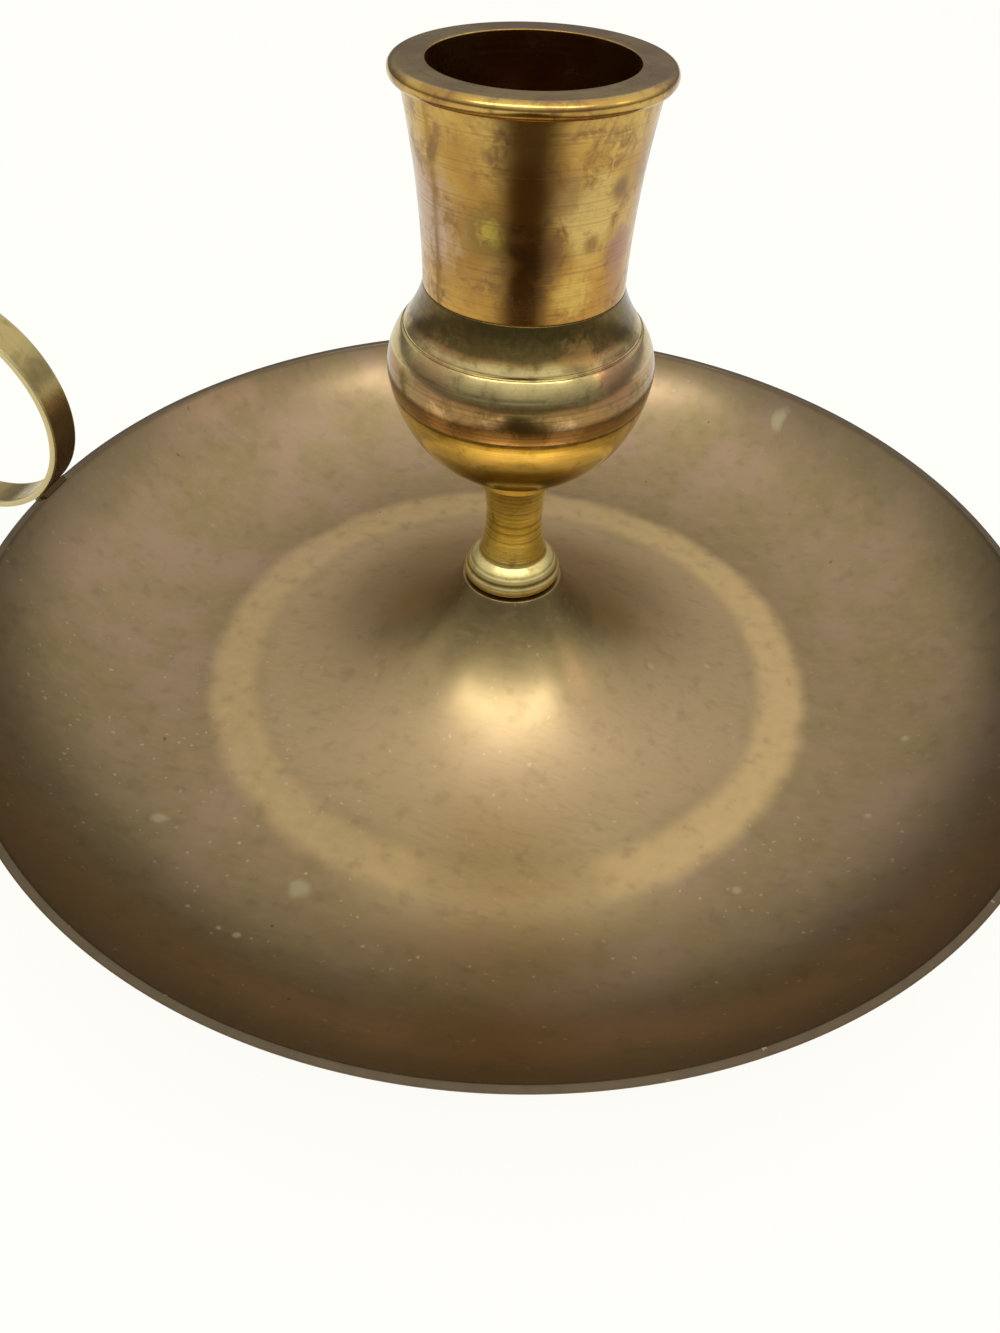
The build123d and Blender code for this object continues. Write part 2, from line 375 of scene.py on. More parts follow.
@dataclass(frozen=True)
class AgedSheet:
    """Spun sheet with a brown satin patina, a golden boss, a ring partly rubbed and partly a painted
    reflection, painted reflections on the front and up the wall, painted shade round the stem's foot, fine
    specks and chalky blotches.
    """

    name: str = "aged_sheet"
    brown: Colour = (0.290, 0.204, 0.106)
    mauve: Colour = (0.332, 0.226, 0.138)
    olive: Colour = (0.258, 0.197, 0.082)
    rose: Colour = (0.345, 0.238, 0.120)
    gold: Colour = (0.298, 0.228, 0.088)
    inside: Colour = (0.440, 0.312, 0.160)
    pale: Colour = (0.54, 0.46, 0.30)
    chalk: Colour = (0.47, 0.405, 0.24)
    dark: Colour = (0.10, 0.068, 0.036)
    # rubbed is the ring's tone: partly rubbed wear, partly a painted reflection of the bright surround
    rubbed: Colour = (0.600, 0.420, 0.190)
    # painted reflection: the floor in front of the stem, on the camera's side, is lighter where it mirrors
    # the bulb
    front_reflection: Colour = (0.53, 0.405, 0.205)
    # painted reflection: darker up the wall towards the lip, where the wall mirrors the dark low surround
    wall_dark_reflection: Colour = (0.140, 0.110, 0.064)
    # painted shade: darker round the stem's foot, standing in for the dark reflections on the boss's flanks
    foot_shade: Colour = (0.150, 0.108, 0.042)
    lip: Colour = (0.112, 0.084, 0.052)
    # The ring is partly rubbed wear and partly a painted reflection. Its gap faces the camera and is painted
    # reflection: there the stem's reflection hides the bright ring.
    ring: tuple[float, float] = (39.6, 46.2)
    ring_soft: float = 1.6
    ring_wander: float = 2.4
    ring_gap_azimuth: float = -74.0
    ring_gap: tuple[float, float] = (11.0, 20.0)
    ring_gap_share: float = 0.75
    # Angles of the painted reflection in front of the stem, from the camera's side
    front_reflection_angles: tuple[float, float] = (10.0, 34.0)
    front_reflection_share: float = 0.6
    blotch_share: float = 0.65
    pit_share: float = 0.7
    roughness: float = 0.30
    least_roughness: float = 0.285
    relief: float = 0.06
    blotches: tuple[Spot, ...] = (
        Spot(-14.5, -49.5, 1.7),
        Spot(-36.1, -45.2, 1.1),
        Spot(40.2, -33.3, 0.8),
        Spot(34.6, 65.2, 1.5),
        Spot(-20.1, -59.5, 0.5),
        Spot(-17.7, -59.6, 0.5),
        Spot(22.5, 1.2, 0.6),
        Spot(30.7, 7.1, 0.6),
        Spot(56.1, -17.2, 0.6),
        Spot(60.8, -1.6, 0.7),
    )

    # Noise patterns
    BROAD = Cloud(24, 2)
    MIDDLE = Cloud(8, 3, 4.2)
    SMALL = Cloud(2.6, 3, 6.6)
    WIPED = Cloud(1.0, 3, 12.3, squeeze=(0.3, 1.0, 1.0))
    DUST = Specks(1.7, 0.40, 0.15)
    CRUMBS = Specks(2.2, 0.85, 0.14, 2.9)
    PITS = Specks(9.0, 0.45, 0.04, 7.7)

    # Shares by noise
    MAUVE_CLOUDS = Layer(0.40, 0.62)
    OLIVE_CLOUDS = Layer(0.42, 0.66, 0.55)
    ROSE_CLOUDS = Layer(0.48, 0.72, 0.40)
    ROSE_WIPES = Layer(0.50, 0.72, 0.34)
    OLIVE_WIPES = Layer(0.50, 0.28, 0.24)
    DARK_PORES = Layer(0.46, 0.26, 0.17)
    DUSTY = Layer(0.40, 0.56, 0.4)
    BOSS_MOTTLE = Mottle(0.25, 0.7)
    FOOT_MOTTLE = Mottle(0.35, 0.7)
    RING_MOTTLE = Mottle(0.30, 0.45)
    LIP_MOTTLE = Mottle(0.55, 0.6)
    CRUMB_MOTTLE = Mottle(0.1, 0.75)

    # Shares by radius, and how far noise moves the radius
    INSIDE = Layer(41.6, 37.1, 0.7)
    BOSS = Layer(24.0, 12.0)
    BOSS_WANDER = 6.0
    # Radii of the painted shade round the stem's foot
    FOOT = Layer(16.0, 9.0)
    FOOT_WANDER = 8.0
    # Radii of the painted reflection in front of the stem
    WORN_FROM, WORN_TO = Layer(30.0, 42.0), Layer(55.0, 44.0)
    # Radii of the painted dark reflection up the wall
    WALL_REFLECTION = Layer(67.9, 75.9, 0.4)
    WALL_REFLECTION_WANDER = 5.0
    LIP = Layer(75.9, 76.5)
    EDGE = Layer(77.18, 77.38, 0.7)
    FLAT_FROM, FLAT_TO = Layer(13.0, 24.0), Layer(70.0, 54.0)

    # Shares by side: the ring, partly a painted reflection, is brighter to the right, and dust lies more in
    # front
    RIGHT = Layer(-0.4, 0.9, 0.3)
    FRONT = Layer(5.0, -30.0, 0.75)
    BACK_DUST = 0.25

    # Roughness added by each layer, and heights in the relief
    CLOUD_ROUGH, FLAT_ROUGH, SPECK_ROUGH, BLOTCH_ROUGH = 0.12, 0.10, 0.12, 0.2
    SPIN_PITCH, PORE_HEIGHT, SPIN_HEIGHT = 0.7, 0.22, 0.04

    def facing(self, paint: Paint, angles: tuple[float, float]) -> Wire:
        """1 within the first angle of the ring gap's azimuth, and 0 beyond the second."""
        azimuth = math.radians(self.ring_gap_azimuth)
        cosine = (paint.x * math.cos(azimuth) + paint.y * math.sin(azimuth)) / paint.radius
        near, far = (math.cos(math.radians(angle)) for angle in angles)
        return cosine.ramp(far, near)

    def patina_and_shade(self, paint: Paint, middle: Wire, small: Wire) -> Wire:
        """Clouds of mauve, olive and rose in brown, lighter inside the ring, golden on the boss, with painted
        shade round the stem's foot.
        """
        wandering = paint.radius + (middle - 0.5) * self.BOSS_WANDER
        tone = paint.mix(self.MAUVE_CLOUDS.of(paint.cloud(self.BROAD)), self.brown, self.mauve)
        tone = paint.mix(self.OLIVE_CLOUDS.of(middle), tone, self.olive)
        tone = paint.mix(self.ROSE_CLOUDS.of(small), tone, self.rose)
        tone = paint.mix(self.INSIDE.of(wandering), tone, self.inside)
        tone = paint.mix(self.BOSS.of(wandering) * self.BOSS_MOTTLE.of(middle), tone, self.gold)
        # painted shade round the stem's foot
        foot = self.FOOT.of(paint.radius + (middle - 0.5) * self.FOOT_WANDER)
        return paint.mix(foot * self.FOOT_MOTTLE.of(small), tone, self.foot_shade)

    def ring_share(self, paint: Paint, wander: Wire) -> Wire:
        """Share of the ring, partly rubbed wear and partly a painted reflection: a soft band of radius with a
        gap at one azimuth, where the ring is left out as the painted reflection of the stem.
        """
        (inner, outer), soft = self.ring, self.ring_soft
        radius = paint.radius + wander * self.ring_wander
        band = radius.ramp(inner - soft, inner + soft) * radius.ramp(outer + soft, outer - soft)
        return band * (1 - self.facing(paint, self.ring_gap) * self.ring_gap_share)

    def wear_and_reflection(self, paint: Paint, tone: Wire, wander: Wire, small: Wire) -> Wire:
        """Lays the painted reflection on the front, the wiping marks and the ring, partly rubbed and partly a
        painted reflection, over a tone.
        """
        # painted reflection: a lighter patch in front of the stem
        front_reflection = self.WORN_FROM.of(paint.radius) * self.WORN_TO.of(paint.radius)
        front_reflection = front_reflection * self.facing(paint, self.front_reflection_angles)
        tone = paint.mix(front_reflection * self.front_reflection_share, tone, self.front_reflection)
        wiped = paint.cloud(self.WIPED)
        tone = paint.mix(self.ROSE_WIPES.of(wiped), tone, self.rose)
        tone = paint.mix(self.OLIVE_WIPES.of(wiped), tone, self.olive)
        # The ring's share: partly rubbed wear, partly a painted reflection, brighter to the right
        rubbing = self.RING_MOTTLE.of(small) + self.RIGHT.of(paint.x / paint.radius)
        return paint.mix(self.ring_share(paint, wander) * rubbing, tone, self.rubbed)

    def soil_and_shade(self, paint: Paint, tone: Wire, wander: Wire, small: Wire) -> Wire:
        """Lays the painted dark reflection up the wall, the dark lip and dark pores over a tone."""
        # painted reflection: the wall darkens towards the lip
        wall_dark_reflection = self.WALL_REFLECTION.of(paint.radius + wander * self.WALL_REFLECTION_WANDER)
        tone = paint.mix(wall_dark_reflection, tone, self.wall_dark_reflection)
        tone = paint.mix(self.LIP.of(paint.radius) * self.LIP_MOTTLE.of(small), tone, self.lip)
        return paint.mix(self.DARK_PORES.of(small), tone, self.dark)

    def speck_share(self, paint: Paint, middle: Wire, small: Wire) -> Wire:
        """Share of the pale specks: dust in clouds and single crumbs, fewer of both at the back."""
        dust = paint.specks(self.DUST) * self.DUSTY.of(middle)
        crumbs = paint.specks(self.CRUMBS) * self.CRUMB_MOTTLE.of(small)
        return dust.most(crumbs) * (self.BACK_DUST + self.FRONT.of(paint.y))

    def material(self) -> bpy.types.Material:
        """Lays wear with painted reflections, the painted wall reflection with soil, specks, blotches and
        pits over the patina with its painted shade, and closes the tree as satin metal.
        """
        paint = Paint(f"{self.name}_finish")
        middle, small = paint.cloud(self.MIDDLE), paint.cloud(self.SMALL)
        wander = middle - 0.5
        tone = self.patina_and_shade(paint, middle, small)
        tone = self.wear_and_reflection(paint, tone, wander, small)
        tone = self.soil_and_shade(paint, tone, wander, small)
        specks = self.speck_share(paint, middle, small)
        blotches: Number = 0.0
        for spot in self.blotches:
            blotches = spot.cover(paint, small - 0.5).most(blotches)
        tone = paint.mix(specks, tone, self.pale)
        tone = paint.mix(blotches * self.blotch_share, tone, self.chalk)
        tone = paint.mix(paint.specks(self.PITS) * self.pit_share, tone, self.dark)
        tone = paint.mix(self.EDGE.of(paint.radius), tone, self.dark)
        flat = self.FLAT_FROM.of(paint.radius) * self.FLAT_TO.of(paint.radius)
        roughness = self.roughness + wander * self.CLOUD_ROUGH + flat * self.FLAT_ROUGH
        roughness = roughness + specks * self.SPECK_ROUGH + blotches * self.BLOTCH_ROUGH
        spun = paint.lines(paint.radius, self.SPIN_PITCH)
        height = small * self.PORE_HEIGHT + spun * self.SPIN_HEIGHT
        return paint.metal(tone, roughness.most(self.least_roughness), height, self.relief)


class Band(NamedTuple):
    """A tone laid round a turned piece between two heights, in millimetres."""

    low: float
    high: float
    soft: float
    tone: Colour
    share: float
    dull: float = 0.0

    def cover(self, paint: Paint, ragged: Wire) -> Wire:
        """1 between the two heights and 0 outside, with soft ragged edges."""
        height = paint.z + ragged * (2 * self.soft)
        return height.ramp(self.low - self.soft, self.low) * height.ramp(self.high + self.soft, self.high)


class Stain(NamedTuple):
    """A patch on a turned piece: azimuth in degrees, reach from the axis and height in millimetres."""

    azimuth: float
    reach: float
    height: float
    radius: float
    tone: Colour
    share: float

    def cover(self, paint: Paint, ragged: Wire) -> Wire:
        """1 within the patch and 0 outside, by the distance from its middle, with a soft ragged edge."""
        azimuth = math.radians(self.azimuth)
        east = paint.x - self.reach * math.cos(azimuth)
        north = paint.y - self.reach * math.sin(azimuth)
        distance = length(east, north, paint.z - self.height) + ragged * (2.2 * self.radius)
        return distance.ramp(self.radius, self.radius * 0.3) * self.share


@dataclass(frozen=True)
class TurnedBrass:
    """Turned brass with tool marks round its axis, scores and mottled tarnish."""

    name: str
    clean: Colour
    warm: Colour
    tarnish: Colour
    roughness: float
    bands: tuple[Band, ...] = ()
    stains: tuple[Stain, ...] = ()
    mark_pitch: float = 0.30
    mark_tone: float = 0.25
    mark_relief: float = 0.10
    relief: float = 0.04
    wobble: float = 3.2
    patch: float = 3.4
    tarnish_from: float = 0.46
    tarnish_share: float = 0.6
    score_share: float = 0.4
    seed: float = 0.0

    # Patch sizes as shares of the middle ones, what each pattern adds to the seed, and the pits
    BROAD_SIZE, FINE_SIZE = 2.5, 0.28
    MIDDLE_SEED, FINE_SEED, WOBBLE_SEED, SCORE_SEED = 3.1, 5.3, 1.4, 40.0
    PITS = Specks(1.6, 0.30, 0.09)
    SCORED_SIZE, SCORED_SEED = 3.0, 8.8

    # Shares by noise
    WARM_CLOUDS = Layer(0.38, 0.62)
    BAND_MOTTLE = Mottle(0.55, 0.9)
    TARNISH_RISE = 0.24
    TARNISH_GRAIN = Layer(0.30, 0.60)
    MARKS = Layer(0.48, 0.72)
    SCORES = Layer(0.56, 0.68)
    SCORED = Layer(0.47, 0.62)
    GRAIN = Layer(0.52, 0.75, 0.22)
    PIT_SHARE = 0.5

    # Tool marks follow the height and part of the radius, so that level faces have them too
    RADIUS_SHARE = 0.6
    SCORE_PITCH = 0.5
    MARK_ROUGH, TARNISH_ROUGH = 0.12, 0.08

    def material(self) -> bpy.types.Material:
        """Mixes warm and tarnished clouds into the clean tone, with lines and scores along the height."""
        paint = Paint(f"{self.name}_finish")
        broad = paint.cloud(Cloud(self.patch * self.BROAD_SIZE, 2, self.seed))
        middle = paint.cloud(Cloud(self.patch, 5, self.seed + self.MIDDLE_SEED, 0.7))
        fine = paint.cloud(Cloud(self.patch * self.FINE_SIZE, 4, self.seed + self.FINE_SEED, 1.0))
        along = paint.z + paint.radius * self.RADIUS_SHARE
        marks = paint.lines(along, self.mark_pitch, self.seed)
        tone = paint.mix(self.WARM_CLOUDS.of(broad), self.clean, self.warm)
        dull: Number = self.roughness
        for band in self.bands:
            share = band.cover(paint, middle - 0.5)
            tone = paint.mix(share * self.BAND_MOTTLE.of(fine) * band.share, tone, band.tone)
            dull = dull + share * band.dull
        tarnished = middle.ramp(self.tarnish_from, self.tarnish_from + self.TARNISH_RISE)
        tarnished = tarnished * self.TARNISH_GRAIN.of(fine)
        tone = paint.mix(tarnished * self.tarnish_share, tone, self.tarnish)
        for stain in self.stains:
            tone = paint.mix(stain.cover(paint, middle * 0.5 + fine * 0.5 - 0.5), tone, stain.tone)
        scores = self.SCORES.of(paint.lines(along, self.SCORE_PITCH, self.seed + self.SCORE_SEED))
        scored = paint.cloud(Cloud(self.SCORED_SIZE, 3, self.seed + self.SCORED_SEED))
        scores = scores * self.SCORED.of(scored)
        pits = paint.specks(self.PITS._replace(seed=self.seed))
        for share in (
            self.MARKS.of(marks) * self.mark_tone,
            scores * self.score_share,
            pits * self.PIT_SHARE,
            self.GRAIN.of(fine),
        ):
            tone = paint.mix(share, tone, self.tarnish)
        roughness = dull + (marks - 0.5) * self.MARK_ROUGH + tarnished * self.TARNISH_ROUGH
        height = paint.cloud(Cloud(self.wobble, 1, self.seed + self.WOBBLE_SEED)) + marks * self.mark_relief
        return paint.metal(tone, roughness, height, self.relief)


@dataclass(frozen=True)
class BentStrip:
    """Drawn strip, darker on the outside near the rim, with lines along it and edges rubbed bright."""

    name: str
    face: Colour
    warm: Colour
    tarnish: Colour
    edge: Colour
    half_width: float
    middle: Point
    outer_face: tuple[float, float]
    dark_below: tuple[float, float]
    roughness: float
    relief: float = 0.05

    # Noise patterns, and shares by noise
    BROAD = Cloud(9, 2, 0.6)
    SMALL = Cloud(2.8, 4, 2.2, 0.6)
    LINE_PITCH = 0.22
    WARM_CLOUDS = Layer(0.38, 0.62)
    TARNISH_CLOUDS = Layer(0.48, 0.70, 0.3)
    DRAWN_LINES = Layer(0.55, 0.75, 0.25)

    # Shares and wanders of the dark outside and of the rubbed edges, and the edges' inset in millimetres
    DARK_SHARE, DARK_WANDER = 0.85, 8.0
    EDGE_SHARE, EDGE_WANDER = 0.8, 0.5
    EDGE_FROM, EDGE_FULL = 0.45, 0.12

    # Roughness and height that the clouds and the lines add
    CLOUD_ROUGH, LINE_ROUGH = 0.15, 0.1
    CLOUD_HEIGHT, LINE_HEIGHT = 0.5, 0.05

    def material(self) -> bpy.types.Material:
        """Mixes warm clouds into the face, tarnish by height outside, and the edge tone near both edges."""
        paint = Paint(f"{self.name}_finish")
        broad, small = paint.cloud(self.BROAD), paint.cloud(self.SMALL)
        drawn = paint.lines(paint.y, self.LINE_PITCH)
        tone = paint.mix(self.WARM_CLOUDS.of(broad), self.face, self.warm)
        outside = length(paint.x - self.middle[0], paint.z - self.middle[1]).ramp(*self.outer_face)
        low = (paint.z + (broad - 0.5) * self.DARK_WANDER).ramp(*self.dark_below)
        tone = paint.mix(outside * low * self.DARK_SHARE, tone, self.tarnish)
        tone = paint.mix(self.TARNISH_CLOUDS.of(small), tone, self.tarnish)
        tone = paint.mix(self.DRAWN_LINES.of(drawn), tone, self.tarnish)
        rubbed = paint.y.size() + (small - 0.5) * self.EDGE_WANDER
        rubbed = rubbed.ramp(self.half_width - self.EDGE_FROM, self.half_width - self.EDGE_FULL)
        tone = paint.mix(rubbed * self.EDGE_SHARE, tone, self.edge)
        roughness = self.roughness + (small - 0.5) * self.CLOUD_ROUGH + (drawn - 0.5) * self.LINE_ROUGH
        height = small * self.CLOUD_HEIGHT + drawn * self.LINE_HEIGHT
        return paint.metal(tone, roughness, height, self.relief)


class Brass(Enum):
    """The finishes of the chamberstick, one for each material slot of the record."""

    SHEET = AgedSheet()
    STRIP = BentStrip(
        "aged_strip", (0.51, 0.40, 0.165), (0.45, 0.335, 0.13), (0.11, 0.075, 0.038), (0.62, 0.52, 0.27),
        half_width=2.8, middle=(-89.07, 31.37), outer_face=(17.2, 17.6), dark_below=(39.0, 30.0),
        roughness=0.27,
    )
    BRAZE = TurnedBrass(
        "braze", (0.20, 0.145, 0.075), (0.17, 0.115, 0.055), (0.09, 0.06, 0.035), 0.42, wobble=1.0
    )
    STEM = TurnedBrass(
        "turned_stem", (0.74, 0.62, 0.18), (0.62, 0.48, 0.11), (0.20, 0.135, 0.035), 0.18,
        bands=(
            Band(18.0, 23.4, 0.3, (0.76, 0.64, 0.29), 0.75, 0.12),
            # painted shade: a darker band over the key lamp's highlight on the collar
            Band(22.6, 23.6, 0.2, (0.60, 0.49, 0.20), 0.6, 0.06),
            Band(21.1, 21.4, 0.1, (0.22, 0.16, 0.05), 0.7),
            Band(22.3, 22.5, 0.1, (0.26, 0.19, 0.06), 0.6),
            Band(19.2, 19.5, 0.1, (0.16, 0.11, 0.04), 0.8),
        ),
        mark_pitch=0.6, mark_tone=0.6, mark_relief=0.7, tarnish_from=0.52,
    )
    BOWL = TurnedBrass(
        "turned_bowl", (0.70, 0.52, 0.10), (0.64, 0.44, 0.070), (0.26, 0.165, 0.038), 0.14,
        bands=(
            # painted highlight: a bright band on the bowl below the seam
            Band(46.4, 49.4, 0.7, (0.96, 0.76, 0.24), 0.75),
            # painted shade: darker towards the bottom of the bowl
            Band(36.0, 42.5, 2.0, (0.56, 0.42, 0.12), 0.5),
            Band(50.3, 51.0, 0.25, (0.15, 0.095, 0.035), 0.8),
        ),
        tarnish_from=0.50, mark_tone=0.15, seed=11.0,
    )
    SHOULDER = TurnedBrass(
        "tarnished_shoulder", (0.31, 0.225, 0.066), (0.36, 0.205, 0.070), (0.13, 0.082, 0.034), 0.20,
        bands=(
            # painted reflection: a dark band round the top of the shoulder
            Band(59.9, 64.0, 0.5, (0.105, 0.075, 0.024), 0.8),
            # painted highlight: a pale band on the shoulder below the groove
            Band(55.9, 58.9, 0.6, (0.61, 0.50, 0.215), 0.75),
            Band(50.9, 51.8, 1.0, (0.56, 0.32, 0.115), 0.6),
        ),
        stains=(
            Stain(-30.0, 15.6, 56.0, 5.2, (0.29, 0.150, 0.080), 0.85),
            Stain(-118.0, 16.0, 56.0, 5.4, (0.34, 0.195, 0.095), 0.75),
            Stain(-85.0, 16.6, 52.0, 3.0, (0.80, 0.50, 0.20), 0.8),
            Stain(-58.0, 16.6, 51.8, 2.6, (0.80, 0.53, 0.24), 0.8),
            Stain(-110.0, 16.6, 51.8, 2.6, (0.78, 0.46, 0.19), 0.8),
            Stain(-47.0, 14.2, 60.0, 3.2, (0.50, 0.30, 0.09), 0.5),
            Stain(-10.0, 15.6, 57.0, 4.0, (0.50, 0.33, 0.20), 0.6),
        ),
        mark_tone=0.30, mark_relief=0.14, tarnish_from=0.46, seed=23.0,
    )
    SOCKET = TurnedBrass(
        "polished_socket", (0.58, 0.378, 0.100), (0.40, 0.215, 0.048), (0.22, 0.115, 0.050), 0.19,
        bands=(Band(62.0, 68.0, 3.5, (0.55, 0.290, 0.062), 0.5),),
        stains=(
            Stain(-112.0, 12.2, 71.0, 8.0, (0.30, 0.160, 0.042), 0.6),
            Stain(-45.0, 12.6, 75.5, 5.5, (0.64, 0.475, 0.165), 0.65),
            Stain(-50.0, 12.2, 66.5, 3.0, (0.66, 0.46, 0.110), 0.65),
            Stain(-95.0, 12.4, 73.0, 3.8, (0.21, 0.145, 0.038), 0.75),
            Stain(-93.0, 12.4, 73.1, 2.0, (0.54, 0.41, 0.075), 0.65),
            Stain(-42.0, 12.4, 71.8, 1.4, (0.22, 0.115, 0.045), 0.7),
            Stain(-20.0, 12.4, 70.3, 3.4, (0.33, 0.170, 0.125), 0.8),
            Stain(-19.0, 12.4, 67.0, 2.6, (0.40, 0.200, 0.095), 0.7),
            Stain(-28.0, 12.8, 77.2, 1.7, (0.18, 0.11, 0.06), 0.7),
            Stain(-140.0, 12.4, 73.0, 7.5, (0.52, 0.375, 0.270), 0.75),
            Stain(-68.0, 12.4, 71.0, 3.8, (0.17, 0.090, 0.032), 0.75),
            Stain(-60.0, 12.8, 77.5, 3.0, (0.24, 0.130, 0.045), 0.65),
            Stain(-76.0, 12.2, 67.0, 2.8, (0.22, 0.115, 0.038), 0.65),
        ),
        mark_tone=0.25, patch=4.2, tarnish_from=0.42, tarnish_share=0.7, seed=31.0,
    )
    FASTENER = TurnedBrass("fasteners", (0.58, 0.43, 0.17), (0.52, 0.35, 0.13), (0.28, 0.19, 0.09), 0.30)

    def dress(self, piece: bpy.types.Object) -> None:
        """Puts this finish on a piece."""
        name = self.value.name
        known = bpy.data.materials.get(f"{name}_finish")
        piece.data.materials.clear()
        piece.data.materials.append(known or self.value.material())


def smooth_step(share: Array) -> Array:
    """Rises from 0 to 1 as the share does, level at both ends: 3 s squared less 2 s cubed."""
    held = np.clip(share, 0, 1)
    return held * held * (3 - 2 * held)


def straight(*corners: Point) -> Array:
    """The corners of a straight-sided run, as an array of radius and height."""
    return np.array(corners, dtype=float)


def arc_through(start: Point, middle: Point, end: Point, count: int = 96) -> Array:
    """An arc of the circle through three points.

    The centre is where the two chords' middle lines cross, found with complex numbers, and the
    points turn about it from start to end by way of the middle.

    Args:
        start: First point.
        middle: A point on the way.
        end: Last point.
        count: Number of points.

    Returns:
        The points of the arc.
    """
    first, second, third = (complex(*point) for point in (start, middle, end))
    ratio = (third - first) / (second - first)
    centre = first - (first - second) * (ratio - abs(ratio) ** 2) / (2j * ratio.imag)
    whole = 2 * math.pi
    sweep = np.angle((third - centre) / (first - centre)) % whole
    passed = np.angle((second - centre) / (first - centre)) % whole
    if passed > sweep:
        sweep -= whole
    points = centre + (first - centre) * np.exp(1j * sweep * np.linspace(0, 1, count))
    return np.stack([points.real, points.imag], axis=1)


def bowed(start: Point, end: Point, radius: float) -> Array:
    """An arc of a given radius between two points, bowed to the right of the way from start to end.

    Its middle stands off the chord by the radius less the root of the radius squared less half the
    chord squared.

    Args:
        start: First point.
        end: Last point.
        radius: Radius of the arc.

    Returns:
        The points of the arc.
    """
    chord = np.subtract(end, start)
    half = np.hypot(*chord) / 2
    side = np.array([chord[1], -chord[0]]) / (2 * half)
    middle = np.add(start, end) / 2 + side * (radius - math.sqrt(radius**2 - half**2))
    return arc_through(start, tuple(middle), end)


def level_radius(run: float, rise: float) -> float:
    """Radius of an arc that leaves a level line: half of (run squared plus rise squared) over the rise."""
    return (run**2 + rise**2) / (2 * rise)


def climb(start: Point, end: Point, count: int = 160) -> Array:
    """An arc that leaves a level line at start and climbs to end.

    Args:
        start: Point where the arc is level.
        end: Point that it climbs to.
        count: Number of points.

    Returns:
        The points of the arc, from the level end.
    """
    run, rise = end[0] - start[0], end[1] - start[1]
    radius = level_radius(run, rise)
    turn = np.linspace(0, math.acos(min(1.0, (radius - rise) / radius)), count)
    across = start[0] + math.copysign(1, run) * radius * np.sin(turn)
    return np.stack([across, start[1] + radius - radius * np.cos(turn)], axis=1)


@dataclass(frozen=True)
class Outline:
    """A closed outline in the plane of radius and height, anticlockwise, in millimetres."""

    points: Array

    SAME = 1e-6
    STEPS_PER_EDGE = 5
    BLUR_PER_EDGE = 0.5

    @classmethod
    def joined(cls, *runs: Array) -> "Outline":
        """Joins runs end to end, without repeated points, and turns them anticlockwise.

        Args:
            runs: Arrays of radius and height.

        Returns:
            The closed outline.
        """
        points = np.concatenate(runs)
        following = np.roll(points, -1, axis=0)
        points = points[np.hypot(*(following - points).T) > cls.SAME]
        following = np.roll(points, -1, axis=0)
        area = np.sum(points[:, 0] * following[:, 1] - following[:, 0] * points[:, 1])
        return cls(points if area > 0 else points[::-1])

    def softened(self, edge: float) -> "Outline":
        """Rounds every corner by about the given radius.

        The outline is read at even steps as complex numbers, and its Fourier terms are multiplied
        by a Gaussian, which is the same as blurring the outline along its length.

        Args:
            edge: Radius of the rounding in millimetres.

        Returns:
            The rounded outline.
        """
        loop = np.vstack([self.points, self.points[:1]])
        along = np.concatenate([[0.0], np.cumsum(np.hypot(*np.diff(loop, axis=0).T))])
        count = int(along[-1] / (edge / self.STEPS_PER_EDGE))
        even = np.linspace(0, along[-1], count, endpoint=False)
        values = np.interp(even, along, loop[:, 0]) + 1j * np.interp(even, along, loop[:, 1])
        cycles = np.fft.fftfreq(count, d=along[-1] / count)
        blur = np.exp(-2 * (math.pi * edge * self.BLUR_PER_EDGE * cycles) ** 2)
        smooth = np.fft.ifft(np.fft.fft(values) * blur)
        return Outline(np.stack([smooth.real, smooth.imag], axis=1))

    def paced(self, count: int, bends: float = 0.5) -> Array:
        """Places a number of points on the outline, closer together where it bends.

        Each step takes an equal part of a sum of the length and the turning passed.

        Args:
            count: Number of points.
            bends: Share of the points that follow the turning.

        Returns:
            The points.
        """
        values = self.points[:, 0] + 1j * self.points[:, 1]
        steps = np.roll(values, -1) - values
        length = np.abs(steps)
        turning = np.abs(np.angle(steps / np.roll(steps, 1)))
        pace = (1 - bends) * length / length.sum() + bends * turning / turning.sum()
        passed = np.concatenate([[0.0], np.cumsum(pace)])
        loop = np.append(values, values[0])
        wanted = np.linspace(0, passed[-1], count, endpoint=False)
        points = np.interp(wanted, passed, loop.real) + 1j * np.interp(wanted, passed, loop.imag)
        return np.stack([points.real, points.imag], axis=1)


class Axis(Enum):
    """The axis that an outline is turned about."""

    UPRIGHT = "upright"
    CROSSWISE = "crosswise"


def placed(name: str, data: bpy.types.ID) -> bpy.types.Object:
    """A new object for a mesh, lamp or camera, linked to the scene."""
    made = bpy.data.objects.new(name, data)
    bpy.context.scene.collection.objects.link(made)
    return made


def piece_from_grid(name: str, grid: Array) -> bpy.types.Object:
    """Makes a closed mesh from a grid of points whose rows and columns both run round.

    Args:
        name: Name of the piece.
        grid: Points in metres, rows by columns by three.

    Returns:
        The new object, at the origin.
    """
    rows, columns = grid.shape[:2]
    index = np.arange(rows * columns).reshape(rows, columns)
    below, aside = np.roll(index, -1, axis=0), np.roll(index, -1, axis=1)
    across = np.roll(below, -1, axis=1)
    faces = np.stack([index, aside, across, below], axis=-1).reshape(-1, 4)
    mesh = bpy.data.meshes.new(name)
    mesh.vertices.add(rows * columns)
    mesh.vertices.foreach_set("co", grid.astype(np.float32).ravel())
    mesh.loops.add(faces.size)
    mesh.loops.foreach_set("vertex_index", faces.astype(np.int32).ravel())
    mesh.polygons.add(len(faces))
    mesh.polygons.foreach_set("loop_start", np.arange(0, faces.size, 4, dtype=np.int32))
    mesh.update(calc_edges=True)
    mesh.shade_smooth()
    return placed(name, mesh)


